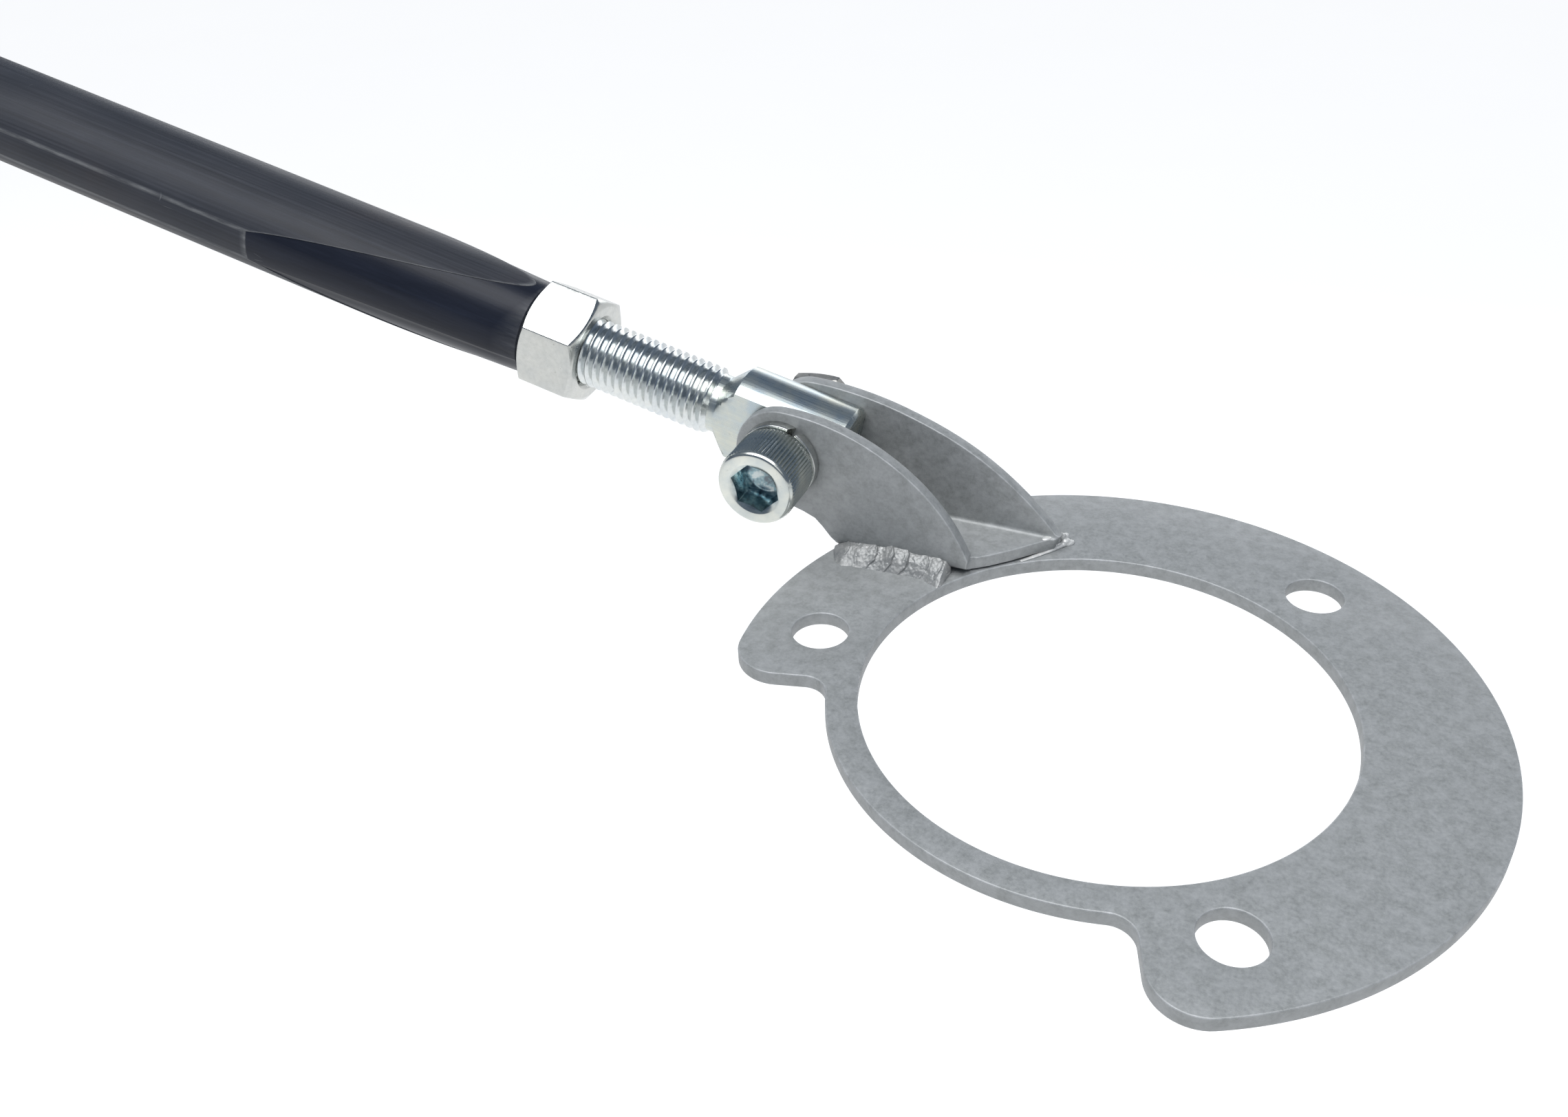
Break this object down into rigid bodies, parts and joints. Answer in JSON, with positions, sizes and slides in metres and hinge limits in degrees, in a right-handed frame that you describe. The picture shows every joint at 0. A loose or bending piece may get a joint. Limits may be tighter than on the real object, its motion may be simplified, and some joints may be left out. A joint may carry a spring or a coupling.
{
  "type": "aircraft tow bar",
  "caption": "Tow bar with a bolt-on ring plate, a welded clevis, a pivoting threaded eye rod, a jam nut, an oval bar and a T-handle with rubber grips.",
  "frame": {"origin": "centre of the ring opening, on the plate's underside", "axes": "+Z is square to the plate, out of its top face; the bar runs away along -X, raised 13 degrees; +Y points towards the side the clevis is welded on"},
  "size_m": [1.1685, 0.368, 0.2745],
  "materials": {
    "plate_paint": "satin silver-grey paint on steel sheet",
    "weld_metal": "painted-over rippled weld bead",
    "zinc_hardware": "bright zinc plate",
    "bush_bronze": "plain sintered bronze",
    "zinc_rod": "zinc-plated machined steel",
    "black_bar": "dark anodised extrusion with worn edges",
    "handle_paint": "satin black paint",
    "grip_rubber": "ribbed black rubber",
    "plug_plastic": "black moulded plastic"
  },
  "bodies": {
    "plate": {"hub_plate": "plate_paint", "clevis_channel": "plate_paint", "weld_near": "weld_metal", "weld_far": "weld_metal", "weld_tip": "weld_metal", "pivot_screw": "zinc_hardware", "lock_washer": "zinc_hardware", "pivot_bush": "bush_bronze", "pivot_nut": "zinc_hardware"},
    "rod": {"eye_rod": "zinc_rod"},
    "nut": {"jam_nut": "zinc_hardware"},
    "bar": {"tow_bar": "black_bar", "handle_jam_nut": "zinc_hardware", "handle_stem": "zinc_rod", "handle_tube": "handle_paint", "handle_weld": "handle_paint", "left_grip": "grip_rubber", "right_grip": "grip_rubber", "left_end_plug": "plug_plastic", "right_end_plug": "plug_plastic"}
  },
  "joints": [
    {"name": "bar_pitch", "type": "hinge", "parent": "plate", "child": "rod", "pos_m": [-0.081, 0.03885, 0.025], "axis": [0, 1, 0], "range_deg": [-95, 130]},
    {"name": "bar_travel", "type": "slide", "parent": "rod", "child": "nut", "axis": [-0.9744, 0, 0.225], "range_m": [-0.0101, 0.0101]},
    {"name": "bar_turn", "type": "hinge", "parent": "nut", "child": "bar", "pos_m": [-0.081, 0.03885, 0.025], "axis": [-0.9744, 0, 0.225], "range_deg": [-1800, 1800]}
  ],
  "couplings": [
    {"joint": "bar_travel", "follows": "bar_turn", "m_per_rad": 0.00031831}
  ]
}
